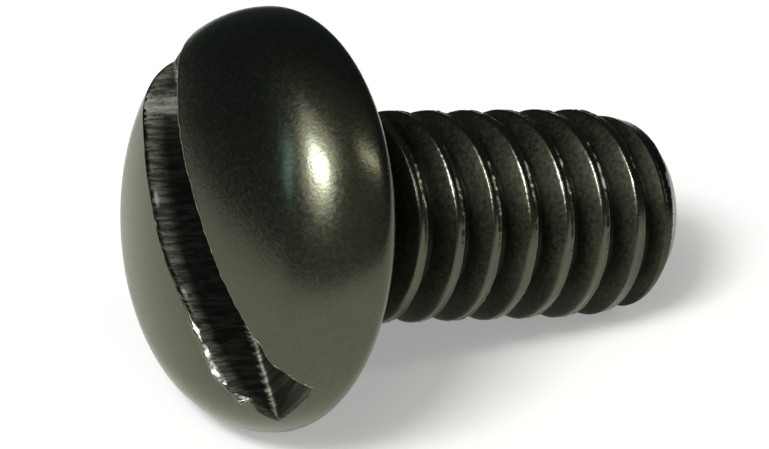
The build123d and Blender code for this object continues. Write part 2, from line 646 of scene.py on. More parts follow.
@dataclass
class SawSlot:
    """The driver slot, sawn across the head, and the two cheeks that it leaves."""

    head: PanHead
    width: float = 2.1
    depth: float = 2.2
    offset: float = 0.09
    angle: float = math.radians(55.0)
    along: int = 180
    across: int = 26
    cheek_rows: int = 34
    wall_rows: int = 14
    end_crowding: float = math.radians(68)
    across_crowding: float = math.radians(80)
    cheek_crowding: float = 2.0
    side_arc: float = math.radians(44)
    form: EdgeForm = EdgeForm()
    wear: SlotWearAndShade = SlotWearAndShade()

    def __post_init__(self) -> None:
        """Place the floor, and share the slot's length and width out into steps."""
        self.floor = self.head.height - self.depth
        slope = math.acos((self.floor - self.head.rim) / self.head.corner)
        self.end_radius = self.head.corner_centre + self.head.corner * math.sin(slope)
        self.end_length = float(self.head.length_at(np.array(self.end_radius)))
        self.shares = self.crowded(1, -1, self.along, self.end_crowding)
        self.steps = (np.arange(self.cheek_rows + 1) / self.cheek_rows) ** self.cheek_crowding
        share = (1 + self.crowded(-1, 1, self.across, self.across_crowding)) / 2
        self.reaches = -self.wall(-1) + self.width * share

    @staticmethod
    def crowded(first: float, last: float, count: int, crowding: float) -> np.ndarray:
        """Steps that crowd towards both ends: the sine of even angles over its own end.

        Args:
            first: the first value.
            last: the last value.
            count: how many steps there are.
            crowding: how far the angles reach.

        Returns:
            The values.
        """
        return np.sin(np.linspace(first, last, count + 1) * crowding) / math.sin(crowding)

    def wall(self, side: int) -> float:
        """How far a wall stands from the axis, measured to its own side."""
        return self.width / 2 + side * self.offset

    def edge_places(self, side: int) -> np.ndarray:
        """How far along the slot the columns of a wall stand."""
        return self.shares * math.sqrt(self.end_radius**2 - self.wall(side) ** 2)

    def arc(self, side: int) -> np.ndarray:
        """The angles of a cheek's outer edge, from the slot's one end to its other.

        Args:
            side: 1 or -1, which cheek.

        Returns:
            The angles, crowded towards the slot.
        """
        corner = math.asin(self.wall(side) / self.end_radius)
        rise = corner + (self.side_arc - corner) * self.steps
        top = np.linspace(self.side_arc, math.pi - self.side_arc, self.along + 1)
        return np.concatenate([rise[:-1], top, math.pi - rise[-2::-1]])

    def columns(self) -> np.ndarray:
        """The angles of the whole ring that the cheeks and the slot's ends share.

        Returns:
            One turn: the slot's one end, a cheek, the other end, the other cheek.
        """
        first = np.arcsin(self.reaches / self.end_radius)
        near = self.arc(1)
        other = math.pi - first[::-1]
        far = TURN - self.arc(-1)[::-1]
        angles = np.concatenate([first[:-1], near[:-1], other[:-1], far])
        return angles + self.angle

    def clear_of_end(self, place: np.ndarray, out: np.ndarray | float) -> np.ndarray:
        """0 on the circle where the slot's floor meets the head, 1 well inside it."""
        return ease(*self.form.end_rise, self.end_radius - np.hypot(place, out))

    def edge_shift(self, side: int, place: np.ndarray, out: np.ndarray | float) -> np.ndarray:
        """How far the slot's edge strays outwards: the strays, a wave and nicks.

        Args:
            side: 1 or -1, which edge.
            place: how far along the slot.
            out: how far across it, from the axis.

        Returns:
            The shift, 0 at both ends.
        """
        spots = Stray.total(EDGE_STRAYS, side, place)
        uneven = self.form.wave.at(place, side) + self.form.nick.at(place, side)
        return (spots + uneven) * self.clear_of_end(place, out)

    def lip(
        self, side: int, place: np.ndarray, out: np.ndarray | float, away: np.ndarray | float
    ) -> np.ndarray:
        """How far the surface by the slot's edge stands over the plain dome.

        The edge is rounded, so the surface falls by a quarter circle. Where the
        saw turned the edge over, a ragged slope cuts the corner off, and a low
        burr stands behind it.

        Args:
            side: 1 or -1, which edge.
            place: how far along the slot.
            out: how far across it, from the axis.
            away: the distance from the slot's wall.

        Returns:
            The height, less than 0 where the edge is rounded off.
        """
        form = self.form
        plain = form.near_round if side > 0 else form.far_round
        radius = plain * (form.least_round + form.round_line.at(place, side))
        inside = np.clip(1 - away / radius, 0, 1)
        fall = radius * (1 - np.sqrt(1 - inside * inside))
        ragged = form.least_burr + form.burr_line.at(place, side)
        turned = Stray.total(BURRS, side, place) * ragged
        slope = np.clip(turned - away, 0, None)
        ridge = hump(form.ridge_place + turned, form.ridge_reach, away)
        burr = (form.plain_ridge + form.burr_ridge * turned) * ridge
        return (burr - np.maximum(fall, slope)) * self.clear_of_end(place, out)

    def cheek_plan(self, side: int) -> tuple[np.ndarray, np.ndarray]:
        """Where the points of a cheek stand before its edge strays, seen from above.

        The dome is laid flat by its run from the apex. There a Coons patch blends
        the slot's edge with the three parts of the outer arc: the sum of the two
        ruled blends less the blend of the four corners.

        Args:
            side: 1 or -1, which side of the slot.

        Returns:
            How far along the slot, and how far across it.
        """
        place = self.edge_places(side)
        radius = np.hypot(place, self.wall(side))
        run = self.head.length_at(radius) / self.end_length
        edge = np.stack([place, np.full_like(place, self.wall(side))], -1)
        bottom = edge * (run / radius)[:, None]
        arc = self.arc(side)
        outer = np.stack([np.cos(arc), np.sin(arc)], -1)
        rows = self.cheek_rows
        left, top, right = outer[: rows + 1], outer[rows:-rows], outer[: -rows - 2 : -1]
        over = ((1 - self.shares) / 2)[:, None, None]
        up = self.steps[None, :, None]
        ruled = (1 - up) * bottom[:, None] + up * top[:, None]
        ruled = ruled + (1 - over) * left[None] + over * right[None]
        corners = (1 - over) * ((1 - up) * bottom[0] + up * top[0])
        corners = corners + over * ((1 - up) * bottom[-1] + up * top[-1])
        flat = ruled - corners
        run = np.hypot(flat[..., 0], flat[..., 1])
        plan = flat * (self.head.radius_at(run * self.end_length) / run)[..., None]
        return plan[..., 0], plan[..., 1]

    def cheek(self, side: int) -> Patch:
        """The domed surface beside the slot, whose edge strays and carries its burrs.

        Each point stands on the dome, over its place in the plan.

        Args:
            side: 1 or -1, which side of the slot.

        Returns:
            The grid, its first row along the slot's edge.
        """
        place, out = self.cheek_plan(side)
        away = out - self.wall(side)
        lip = self.lip(side, place, out, away)
        out = out + self.edge_shift(side, place, out) * np.exp(-away / self.form.shift_reach)
        height = self.head.height_at(np.hypot(place, out)) + lip
        masks = self.wear.on_cheek(side, away, Stray.total(BURRS, side, place))
        return self.turned(side, place, out, height, masks)

    def turned(
        self,
        side: int,
        place: np.ndarray,
        out: np.ndarray,
        height: np.ndarray,
        masks: dict[Mask, np.ndarray],
    ) -> Patch:
        """Turn points from along and across the slot to the screw's own X and Y.

        Args:
            side: which side of the slot out is measured to.
            place: how far along the slot.
            out: how far across it.
            height: the points' heights.
            masks: what they carry for the finish.

        Returns:
            The patch.
        """
        c, s = math.cos(self.angle), math.sin(self.angle)
        across = side * out
        points = np.stack([place * c - across * s, place * s + across * c, height], -1)
        return Patch(points, masks)

    def wall_patch(self, side: int) -> Patch:
        """A wall of the slot, with the marks that the saw's teeth left.

        Each column drops straight from the slot's edge to its floor, and the
        marks push it outwards between the two. The edge's shift fades with the
        square of the way that is left.

        Args:
            side: 1 or -1, which wall.

        Returns:
            The grid, its first row along the slot's edge.
        """
        form, wall, place = self.form, self.wall(side), self.edge_places(side)
        clear = self.clear_of_end(place, wall)
        shift = self.edge_shift(side, place, wall)
        top = self.head.height_at(np.hypot(place, wall + shift))
        top = top + self.lip(side, place, wall, 0.0)
        foot = self.floor + form.foot_round * clear
        down = np.linspace(0, 1, self.wall_rows)[:, None]
        height = top + (foot - top) * down
        mark = form.tooth_mark.at(place + form.mark_lean * height, side) * clear
        out = wall + shift * (1 - down) ** 2 + mark * np.sqrt(np.sin(math.pi * down))
        masks = self.wear.on_wall(side, place, top - height)
        return self.turned(side, np.broadcast_to(place, out.shape), out, height, masks)

    def floor_patch(self) -> Patch:
        """The floor of the slot, its ends on the head's own round.

        It is straight across, and turns up in a small hollow at the foot of each
        wall: a quarter circle of the foot's radius.

        Returns:
            The grid.
        """
        form, across = self.form, self.reaches
        place = self.shares[:, None] * np.sqrt(self.end_radius**2 - across**2)
        gap = np.minimum(across + self.wall(-1), self.wall(1) - across)
        inside = np.clip(1 - gap / form.foot_round, 0, 1)
        hollow = form.foot_round * (1 - np.sqrt(1 - inside * inside))
        mark = form.floor_mark.at(place + form.mark_lean * across) * (1 - inside)
        height = self.floor + (hollow + mark) * self.clear_of_end(place, across)
        masks = self.wear.on_floor(place, inside)
        return self.turned(1, place, np.broadcast_to(across, place.shape), height, masks)


@dataclass(frozen=True)
class ThreadWearAndShade:
    """Where the thread is rubbed bare or dull, where bare steel is painted on its lit side as a
    highlight, and where shade is painted dark, as shares.

    Places and reaches across the crest are in halves of its width, and those
    along the shank and out from the axis in millimetres.
    """

    # the lit side round the axis, where bare steel is laid as a painted highlight as well as wear
    glint_side: float = math.radians(-42)
    glint_arc: float = math.radians(25)
    rim_glint_arc: float = math.radians(40)
    under_side: float = math.radians(-135)
    under_arc: float = math.radians(45)
    crest_edge: Pair = (0.9, 1.5)
    crest_bare: float = 0.1
    bead_rise: Pair = (-0.2, 0.8)
    bead_line: Pair = (0.7, 0.32)
    bead_bare: float = 1.3
    corner_bell: Pair = (-1.0, 0.35)
    corner_least: float = 0.75
    corner_line: Uneven = Uneven(0.6, 33, height=0.25, start=300)
    corner_bare: float = 0.75
    rim_reach: float = 0.06
    rim_bare: float = 0.9
    chamfer_reach: float = 0.05
    chamfer_plain: float = 0.7
    chamfer_clean: float = 0.8
    # painted shade in the roots and under the flanks; and darker where the crests fall short
    below_core: float = 0.1
    under_shade: float = 0.66
    short_rise: Pair = (0.02, 0.12)
    short_dark: float = 0.6

    def on_thread(
        self,
        angles: np.ndarray,
        across: np.ndarray,
        run: np.ndarray,
        folded: np.ndarray,
        past: np.ndarray,
        cut_off: np.ndarray,
        rise: np.ndarray,
        depth: float,
    ) -> dict[Mask, np.ndarray]:
        """What the thread carries.

        Bare steel lies on one side round the axis, where the highlights fall, so it is
        wear and also a painted highlight: in beads along the fold, in a line on the
        other corner, and on the chamfer's rim. Shade is painted dark in the roots and
        under the flanks, and the coat is also darker where the crests fall short.

        Args:
            angles: where round the axis.
            across: the distance from the crest's middle, in halves of its width.
            run: the distance along the helix.
            folded: how high the fold stands, from -1 to 1.
            past: the distance past the start of the chamfer.
            cut_off: how much the lead and the chamfer take off the thread.
            rise: how far the surface stands over the core.
            depth: how deep the thread is.

        Returns:
            The masks.
        """
        on_crest = 1 - ease(*self.crest_edge, np.abs(across))
        # bare steel only on the lit side: wear and a painted highlight
        from_side = from_line(angles, self.glint_side)
        beads = ease(*self.bead_rise, folded) * hump(*self.bead_line, across)
        uneven = self.corner_least + self.corner_line.at(run)
        corner = hump(*self.corner_bell, across) * uneven
        bare_glint = self.bead_bare * beads + self.corner_bare * corner
        bare_glint = hump(0, self.glint_arc, from_side) * bare_glint
        chamfer = ease(-self.chamfer_reach, self.chamfer_reach, past)
        rim = hump(0, self.rim_reach, past) * hump(0, self.rim_glint_arc, from_side)
        # painted shade in the roots and under the flanks; darker where the crests fall short
        low = 1 - ease(-self.below_core, depth, rise)
        under = hump(0, self.under_arc, from_line(angles, self.under_side)) * (1 - on_crest)
        short = ease(*self.short_rise, cut_off)
        shaded = np.maximum(np.maximum(low, self.under_shade * under), self.short_dark * short)
        return {
            Mask.WEAR: self.crest_bare * on_crest + bare_glint + self.rim_bare * rim,
            Mask.THREAD: (1 - on_crest) * (1 - self.chamfer_plain * chamfer),
            Mask.DARK: shaded * (1 - self.chamfer_clean * chamfer),
        }


@dataclass
class RolledThread:
    """The right-hand thread, rolled from under the head to the point.

    Rows across the crest, its foot and the fold on it are placed in halves of its
    width, and rows down a flank by shares of its run. Rows stand closest where
    the seam and the fold are.
    """

    crest_radius: float
    length: float
    pitch: float = 1.27
    flank: float = math.radians(30)
    crest_width: float = 0.28
    root_width: float = 0.16
    first_crest: float = 1.17
    runout: float = 1.5
    neck_fillet: float = 0.3
    lead: float = 2.0
    lead_drop: float = 0.38
    chamfer: float = 0.45
    chamfer_angle: float = math.radians(46)
    columns: int = 230
    early_rows: tuple[float, ...] = (-1.32, -1.14, -1.0, -0.86, -0.68, -0.48, -0.28, -0.1, 0.08)
    late_rows: tuple[float, ...] = (0.24, 0.38, 0.5, 0.62, 0.76, 0.9, 1.04, 1.2, 1.4)
    flank_rows: tuple[float, ...] = (0.3, 0.62, 0.9)
    fillet_rows: int = 6
    chamfer_rows: int = 4
    face_rows: int = 14
    crest_round: float = 0.026
    crest_foot: float = 1.6
    root_round: float = 0.05
    seam_depth: float = 0.026
    seam_at: Pair = (0.03, 0.08)
    seam_opens: Pair = (-1.1, 0.1)
    fold_height: float = 0.02
    fold_place: float = 0.75
    fold_reach: float = 0.5
    point_full: float = 0.07
    point_skew: float = 0.03
    skew_angle: float = math.radians(30)
    bearing_arc: float = math.radians(24)
    end_overlap: float = 0.02
    dish: float = 0.06
    dish_rise: Pair = (0.55, 0.9)
    face_dull: float = 0.3
    flat_depth: float = 0.001
    seam_line: Uneven = Uneven(1.3, 31, start=50)
    fold_line: Uneven = Uneven(0.12, 32, start=200)
    swell_line: Uneven = Uneven(0.6, 33, height=0.01, start=400)
    wear: ThreadWearAndShade = ThreadWearAndShade()

    def __post_init__(self) -> None:
        """Work out the core and the places along the shank that follow."""
        gap = (self.pitch - self.crest_width - self.root_width) / 2
        self.half_crest = self.crest_width / 2
        self.core_radius = self.crest_radius - gap / math.tan(self.flank)
        self.lead_start = self.length - self.lead
        self.chamfer_start = self.length - self.chamfer
        self.chamfer_radius = self.crest_radius - self.lead_drop
        widest = self.chamfer_radius + self.point_full + self.point_skew
        to_core = (widest - self.core_radius) / math.tan(self.chamfer_angle)
        self.thread_end = self.chamfer_start + to_core + self.end_overlap
        self.angles = np.linspace(0, TURN, self.columns + 1)

    def skewed(self, angle: np.ndarray) -> np.ndarray:
        """How much slimmer the point is than the solid's; less than 0 where it is fuller.

        A cosine of the angle less the fullness all round, with a bell taken out
        round the line that the screw lies on, whose crests stay where they bear.

        Args:
            angle: where round the axis.

        Returns:
            The difference in radius.
        """
        rest = hump(math.pi, self.bearing_arc, np.mod(angle, TURN))
        slimmer = self.point_skew * np.cos(angle - self.skew_angle) - self.point_full
        return slimmer * (1 - rest)

    def over_crests(self, along: np.ndarray, angle: np.ndarray) -> np.ndarray:
        """The radius that the thread is trimmed to.

        Args:
            along: distance from the bearing face.
            angle: where round the axis.

        Returns:
            The least of the full crest, the lead's cone and the chamfer's cone.
        """
        share = (along - self.lead_start) / (self.lead - self.chamfer)
        skew = self.skewed(angle) * np.clip(share, 0, 1)
        lead = self.lead_drop * share
        chamfer = (along - self.chamfer_start) * math.tan(self.chamfer_angle)
        radius = np.minimum(self.crest_radius - lead, self.chamfer_radius - chamfer)
        return np.minimum(self.crest_radius, radius - skew)

    def neck(self, along: np.ndarray) -> np.ndarray:
        """The radius of the neck, which tapers from crest height down to the core."""
        drop = (self.crest_radius - self.core_radius) / (self.runout - self.neck_fillet)
        return self.crest_radius - (along - self.neck_fillet) * drop

    def row_offsets(self) -> np.ndarray:
        """Where the rows stand across one thread, from its crest's middle.

        Returns:
            Distances along the shank, from one root to the next.
        """
        foot = (self.pitch - self.root_width) / 2
        crest = self.half_crest * np.array(self.early_rows + self.late_rows)
        side = self.half_crest + (foot - self.half_crest) * np.array(self.flank_rows)
        root = np.array([foot + self.root_width / 4, self.pitch / 2])
        return np.concatenate([-root[:1], -side[::-1], crest, side, root])

    def ridge(self, offset: np.ndarray, run: np.ndarray) -> np.ndarray:
        """The radius of the thread across one turn.

        Crest, flanks and root are straight, with the corners eased. Rolling
        pushed the metal up from both sides, so the crest keeps a narrow seam,
        which comes and goes along the thread.

        Args:
            offset: distance from the crest's middle, along the shank.
            run: distance along the helix.

        Returns:
            The radius.
        """
        half, away = self.half_crest, np.abs(offset)
        flank = self.crest_radius - (away - half) * (1 / math.tan(self.flank))
        top, low = self.crest_radius, self.core_radius
        radius = top - self.crest_round * np.logaddexp(0, (top - flank) / self.crest_round)
        radius = low + self.root_round * np.logaddexp(0, (radius - low) / self.root_round)
        opened = ease(*self.seam_opens, self.seam_line.at(run))
        seam = self.seam_depth * opened * hump(*self.seam_at, offset)
        fold = hump(self.fold_place * half, self.fold_reach * half, offset)
        fold = self.fold_height * self.fold_line.at(run) * fold
        near_crest = 1 - ease(half, self.crest_foot * half, away)
        return radius - seam + fold - self.swell_line.at(run) * near_crest

    def rows(self) -> tuple[np.ndarray, np.ndarray, np.ndarray]:
        """The rows of all turns that reach the shank, with one spare at each end.

        Returns:
            Each row's start on the uppermost line, its offset from its crest's
            middle, and its crest's number.
        """
        offsets = self.row_offsets()
        first = math.floor((self.neck_fillet - self.first_crest) / self.pitch) - 1
        last = math.ceil((self.thread_end - self.first_crest) / self.pitch) + 2
        crests = np.arange(first, last)
        start = (self.first_crest + crests[:, None] * self.pitch + offsets).reshape(-1)
        fits = (start > self.neck_fillet) & (start - self.pitch < self.thread_end)
        keep = np.convolve(fits, np.ones(3), "same") > 0
        offset = np.tile(offsets, len(crests))
        number = np.repeat(crests, len(offsets))
        return start[keep, None], offset[keep, None], number[keep, None]

    def shank(self) -> Patch:
        """The threaded length, from the neck to where the chamfer reaches the core.

        A row keeps its place across the thread and follows the helix, so it
        loses one pitch in a turn: its distance from the bearing face is its
        distance on the uppermost line less pitch times angle over a turn. Rows
        that would pass either end stay on the circle there.

        Returns:
            The grid, closed round the axis by the row one pitch on.
        """
        start, offset, number = self.rows()
        along = start - self.pitch * self.angles / TURN
        along = np.clip(along, self.neck_fillet, self.thread_end)
        run = (number - self.angles / TURN) * TURN * self.crest_radius
        full = np.maximum(self.ridge(offset, run), self.neck(along))
        trimmed = self.over_crests(along, self.angles)
        radius = np.minimum(full, trimmed)
        patch = ring_grid(radius, -along, self.angles)
        patch.masks = self.wear.on_thread(
            angles=self.angles,
            across=offset / self.half_crest,
            run=run,
            folded=self.fold_line.at(run),
            past=along - self.chamfer_start,
            cut_off=full - trimmed,
            rise=radius - self.core_radius,
            depth=self.crest_radius - self.core_radius,
        )
        return patch

    def under_head(self, outer: float) -> Patch:
        """The fillet under the head, a quarter circle, and the bearing face inside a ring.

        Args:
            outer: the ring's radius.

        Returns:
            The grid, closed round the axis.
        """
        turn = np.linspace(math.pi, math.pi / 2, self.fillet_rows)
        fillet = self.crest_radius + self.neck_fillet * (1 + np.cos(turn))
        depth = self.neck_fillet * (1 - np.sin(turn))
        inner = self.crest_radius + self.neck_fillet
        flat = np.linspace(inner, outer, self.fillet_rows)[1:]
        height = np.concatenate([-depth, np.zeros_like(flat)])
        return ring_grid(np.concatenate([fillet, flat]), height, self.angles)

    def point(self) -> Patch:
        """The chamfer past the thread and the end face, closed at its middle.

        The face is dished and keeps a flat ring, which is as dull as a flank.

        Returns:
            The grid, closed round the axis.
        """
        chamfer = np.linspace(self.thread_end, self.length, self.chamfer_rows)[:, None]
        cone = self.over_crests(chamfer, self.angles)
        share = np.linspace(1, 0, self.face_rows)[1:, None]
        dish = self.dish * (1 - ease(*self.dish_rise, share))
        radius = np.concatenate([cone, cone[-1] * share])
        along = np.concatenate([chamfer, self.length - dish])
        patch = ring_grid(radius, -along, self.angles)
        flat = along > self.length - self.flat_depth
        patch.masks = {Mask.THREAD: self.face_dull + (1 - self.face_dull) * flat}
        return patch


@dataclass
class Tree:
    """A node tree."""

    tree: bpy.types.NodeTree

    def add(
        self, kind: str, settings: dict | None = None, out: int | str = 0, **inputs: object
    ) -> Socket | None:
        """Add a node with its settings and links.

        Args:
            kind: the node's type.
            settings: attributes to set on the node.
            out: which of its outputs is wanted.
            inputs: socket names, with spaces as underscores, or n and a number;
                each gets the value, or a link where the value is a socket.

        Returns:
            The output, or None where the node has none.
        """
        node = self.tree.nodes.new(kind)
        for name, value in (settings or {}).items():
            setattr(node, name, value)
        for name, value in inputs.items():
            numbered = name[0] == "n" and name[1:].isdigit()
            socket = node.inputs[int(name[1:]) if numbered else name.replace("_", " ")]
            if isinstance(value, Socket):
                self.tree.links.new(value, socket)
            else:
                socket.default_value = value
        return node.outputs[out] if node.outputs else None


@dataclass(frozen=True)
class Lumps:
    """A noise pattern: the size of its lumps in millimetres, its octaves and their share."""

    size: float
    detail: float
    rough: float

    @property
    def scale(self) -> float:
        """How many lumps there are in a metre, the unit of the coordinates."""
        return 1 / (self.size * MM)


@dataclass(frozen=True)
class BlackOxideSteel:
    """Carbon steel, cold headed and thread rolled, with a black oxide conversion coat.

    The coat is thin and grows out of the steel, so the eye sees a dark, slightly
    olive metal with a satin gloss. A film of oil on it adds a clear reflection
    that grows towards the edges. Rubbed edges are bare grey steel, and on the
    thread's lit side bare steel is also a painted highlight. The sawn slot is
    rougher, and the thread's flanks are duller and painted darker with shade.
    Shade is painted dark in the slot and in the thread's roots. The coat's own
    crystals are far too fine to show, so its grain and pits are drawn as coarse
    as they need to be. Depths are in millimetres.
    """

    coat: str = "585848"
    coat_deep: str = "4c4d42"
    # painted shade: the darker colour of the thread's flanks and roots; the point's end face
    # takes it too
    flank_shade: str = "25261f"
    cut: str = "a3a194"
    cut_deep: str = "5e5d53"
    # bare steel: wear, and on the thread's lit side a painted highlight
    bare: str = "c9c9c0"
    # painted shade: the dark colour laid where the dark mask is
    painted_shade: str = "10110e"
    edge_tint: str = "f2f2ea"
    coat_rough: float = 0.24
    thread_rough: float = 0.46
    cut_rough: float = 0.68
    rubbed_duller: float = 0.22
    grain_low: float = 0.35
    grain_high: float = 0.65
    grain_smoother: float = -0.04
    grain_rougher: float = 0.045
    oil: float = 0.12
    oil_rough: float = 0.22
    oil_ior: float = 1.45
    cloud_share: float = 0.25
    mottle_low: float = 0.3
    mottle_high: float = 0.7
    scratch_low: float = 0.45
    scratch_high: float = 0.58
    scratch_stretch: float = 0.16
    painted_shade_share: float = 0.92
    fleck_share: float = 0.3
    rub_low: float = 0.2
    rub_high: float = 0.5
    pit_strength: float = 0.09
    pit_depth: float = 0.04
    scratch_strength: float = 0.8
    scratch_depth: float = 0.05
    grains: Lumps = Lumps(0.125, 3.0, 0.65)
    clouds: Lumps = Lumps(1.4, 4.0, 0.5)
    flecks: Lumps = Lumps(0.11, 2.0, 0.5)
    pits: Lumps = Lumps(0.105, 1.0, 0.6)
    scratches: Lumps = Lumps(0.15, 4.0, 0.7)

    def build(self, slot_along: np.ndarray, slot_down: np.ndarray) -> bpy.types.Material:
        """Make the material, whose patterns read Object coordinates in metres.

        Args:
            slot_along: the direction of the slot, in the part's frame.
            slot_down: the direction of the slot's depth.

        Returns:
            The material.
        """
        material = bpy.data.materials.new("black_oxide_steel")
        material.use_nodes = True
        material.node_tree.nodes.clear()
        tree = Tree(material.node_tree)
        masks = {
            kind: tree.add("ShaderNodeAttribute", {"attribute_name": kind.value}, out="Fac")
            for kind in Mask
        }
        place = tree.add("ShaderNodeTexCoord", out="Object")
        flat = self.along_saw(tree, place, slot_along, slot_down)
        patterns = (self.grains, self.clouds, self.flecks, self.pits, self.scratches)
        grain, cloud, fleck, pit, scratch = (
            tree.add(
                "ShaderNodeTexNoise",
                Vector=flat if lumps is self.scratches else place,
                Scale=lumps.scale,
                Detail=lumps.detail,
                Roughness=lumps.rough,
            )
            for lumps in patterns
        )
        bare = self.bare_share(tree, masks, fleck, scratch)
        shader = tree.add(
            "ShaderNodeBsdfPrincipled",
            Base_Color=self.colour(tree, masks, grain, cloud, scratch, bare),
            Metallic=1.0,
            Roughness=self.roughness(tree, masks, grain, bare),
            Normal=self.relief(tree, masks, pit, scratch),
            Specular_Tint=linear(self.edge_tint),
            Coat_Weight=self.oil,
            Coat_Roughness=self.oil_rough,
            Coat_IOR=self.oil_ior,
        )
        tree.add("ShaderNodeOutputMaterial", Surface=shader)
        return material

    def along_saw(
        self, tree: Tree, place: Socket, slot_along: np.ndarray, slot_down: np.ndarray
    ) -> Socket:
        """The coordinates of the saw's scratches, fine along the slot and long down its walls.

        Args:
            tree: where the nodes go.
            place: the coordinates in the part's frame.
            slot_along: the direction of the slot.
            slot_down: the direction of its depth.

        Returns:
            The coordinates.
        """
        along, down = (
            tree.add(
                "ShaderNodeVectorMath",
                {"operation": "DOT_PRODUCT"},
                out="Value",
                n0=place,
                n1=tuple(direction.tolist()),
            )
            for direction in (slot_along, slot_down)
        )
        down = tree.add("ShaderNodeMath", TIMES, n0=down, n1=self.scratch_stretch)
        return tree.add("ShaderNodeCombineXYZ", X=along, Y=down)

    def bare_share(
        self, tree: Tree, masks: dict[Mask, Socket], fleck: Socket, scratch: Socket
    ) -> Socket:
        """How much bare steel shows: the worn places, with the painted highlight on the thread's
        lit side, broken up by flecks or scratches.

        Args:
            tree: where the nodes go.
            masks: what the skin carries.
            fleck: the pattern of the rubbed coat.
            scratch: the pattern of the sawn metal.

        Returns:
            The share.
        """
        ragged = tree.add("ShaderNodeMix", n0=self.fleck_share, n2=scratch, n3=fleck)
        broken = tree.add("ShaderNodeMix", n0=masks[Mask.CUT], n2=fleck, n3=ragged)
        rub = tree.add("ShaderNodeMath", TIMES, n0=masks[Mask.WEAR], n1=broken)
        return tree.add(
            "ShaderNodeMapRange", Value=rub, From_Min=self.rub_low, From_Max=self.rub_high
        )

    def colour(
        self,
        tree: Tree,
        masks: dict[Mask, Socket],
        grain: Socket,
        cloud: Socket,
        scratch: Socket,
        bare: Socket,
    ) -> Socket:
        """The coat's mottled colour, with sawn metal, painted shade and bare steel laid over it.

        Args:
            tree: where the nodes go.
            masks: what the skin carries.
            grain: the coat's fine pattern.
            cloud: its wide pattern.
            scratch: the pattern of the sawn metal.
            bare: how much bare steel shows.

        Returns:
            The colour.
        """
        blend = tree.add("ShaderNodeMix", n0=self.cloud_share, n2=grain, n3=cloud)
        mottle = tree.add(
            "ShaderNodeMapRange", Value=blend, From_Min=self.mottle_low, From_Max=self.mottle_high
        )
        streak = tree.add(
            "ShaderNodeMapRange",
            Value=scratch,
            From_Min=self.scratch_low,
            From_Max=self.scratch_high,
        )
        # painted shade, laid where the dark mask is
        shaded = tree.add("ShaderNodeMath", TIMES, n0=masks[Mask.DARK], n1=self.painted_shade_share)
        deep, light = linear(self.cut_deep), linear(self.cut)
        sawn = tree.add("ShaderNodeMix", COLOURS, out=2, n0=streak, n6=deep, n7=light)
        # the flanks' darker colour and the dark mask's colour are painted shade; bare steel is
        # wear and, on the thread's lit side, a painted highlight
        layers = (
            (masks[Mask.THREAD], linear(self.flank_shade)),
            (mottle, linear(self.coat)),
            (masks[Mask.CUT], sawn),
            (shaded, linear(self.painted_shade)),
            (bare, linear(self.bare)),
        )
        colour = linear(self.coat_deep)
        for share, over in layers:
            colour = tree.add("ShaderNodeMix", COLOURS, out=2, n0=share, n6=colour, n7=over)
        return colour

    def roughness(
        self, tree: Tree, masks: dict[Mask, Socket], grain: Socket, bare: Socket
    ) -> Socket:
        """The roughness of coat, flanks and sawn metal, uneven, and higher where rubbed.

        Args:
            tree: where the nodes go.
            masks: what the skin carries.
            grain: the coat's fine pattern.
            bare: how much bare steel shows.

        Returns:
            The roughness.
        """
        rough = tree.add(
            "ShaderNodeMix", n0=masks[Mask.THREAD], n2=self.coat_rough, n3=self.thread_rough
        )
        rough = tree.add("ShaderNodeMix", n0=masks[Mask.CUT], n2=rough, n3=self.cut_rough)
        uneven = tree.add(
            "ShaderNodeMapRange",
            Value=grain,
            From_Min=self.grain_low,
            From_Max=self.grain_high,
            To_Min=self.grain_smoother,
            To_Max=self.grain_rougher,
        )
        duller = tree.add("ShaderNodeMath", TIMES, n0=bare, n1=self.rubbed_duller)
        for extra in (uneven, duller):
            rough = tree.add("ShaderNodeMath", {"operation": "ADD"}, n0=rough, n1=extra)
        return rough

    def relief(
        self, tree: Tree, masks: dict[Mask, Socket], pit: Socket, scratch: Socket
    ) -> Socket:
        """The fine relief: pits all over, and the saw's scratches where the metal is sawn.

        Args:
            tree: where the nodes go.
            masks: what the skin carries.
            pit: the pattern of the pits.
            scratch: the pattern of the sawn metal.

        Returns:
            The normal.
        """
        pitted = tree.add(
            "ShaderNodeBump",
            Strength=self.pit_strength,
            Distance=self.pit_depth * MM,
            Height=pit,
        )
        sawn = tree.add("ShaderNodeMath", TIMES, n0=scratch, n1=masks[Mask.CUT])
        return tree.add(
            "ShaderNodeBump",
            Strength=self.scratch_strength,
            Distance=self.scratch_depth * MM,
            Height=sawn,
            Normal=pitted,
        )


